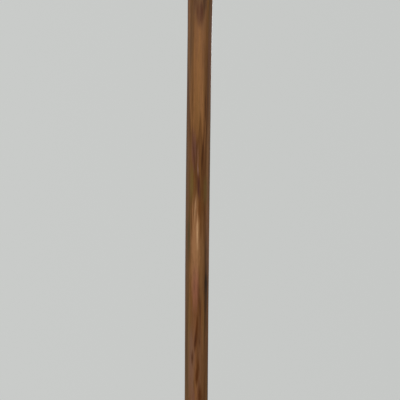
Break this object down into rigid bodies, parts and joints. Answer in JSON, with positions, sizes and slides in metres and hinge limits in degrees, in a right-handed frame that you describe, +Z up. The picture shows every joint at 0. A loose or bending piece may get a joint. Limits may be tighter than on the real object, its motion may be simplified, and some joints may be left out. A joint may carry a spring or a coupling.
{
  "type": "lacrosse stick",
  "caption": "Traditional wooden lacrosse stick: a bent wood frame with a leather-runner pocket, a woven gut wall, cord lacing and a leather-wrapped grip.",
  "frame": {"origin": "the centre of the butt's flat end face, on the handle's axis", "axes": "+Z runs up the handle to the head, -Y is the ball side (the pictured side), +Y the side the pocket hangs towards, +X the gut wall's side"},
  "size_m": [0.1919, 0.0742, 1.0717],
  "materials": {
    "varnished_hickory": "stained brown, varnished, satin",
    "runner_leather": "oiled, matte",
    "rawhide": "hard amber gut, satin",
    "cotton_lacing": "twisted natural cord, matte",
    "waxed_thread": "waxed dark brown thread",
    "grip_leather": "wrapped strip, worn satin"
  },
  "bodies": {
    "root": {"hickory_frame": "varnished_hickory", "leather_runner_1": "runner_leather", "leather_runner_2": "runner_leather", "leather_runner_3": "runner_leather", "leather_runner_4": "runner_leather", "runner_knot_1": "runner_leather", "runner_knot_2": "runner_leather", "runner_knot_3": "runner_leather", "runner_knot_4": "runner_leather", "wooden_wall_cord": "cotton_lacing", "hook_wall_cord": "cotton_lacing", "cross_lacing": "cotton_lacing", "shooting_string_1": "cotton_lacing", "shooting_string_2": "cotton_lacing", "gut_strand_1": "rawhide", "gut_strand_2": "rawhide", "gut_strand_3": "rawhide", "gut_weave": "rawhide", "bridge": "rawhide", "throat_binding": "waxed_thread", "hook_binding": "waxed_thread", "grip_wrap": "grip_leather", "grip_lower_whipping": "waxed_thread", "grip_upper_whipping": "waxed_thread"}
  },
  "joints": []
}
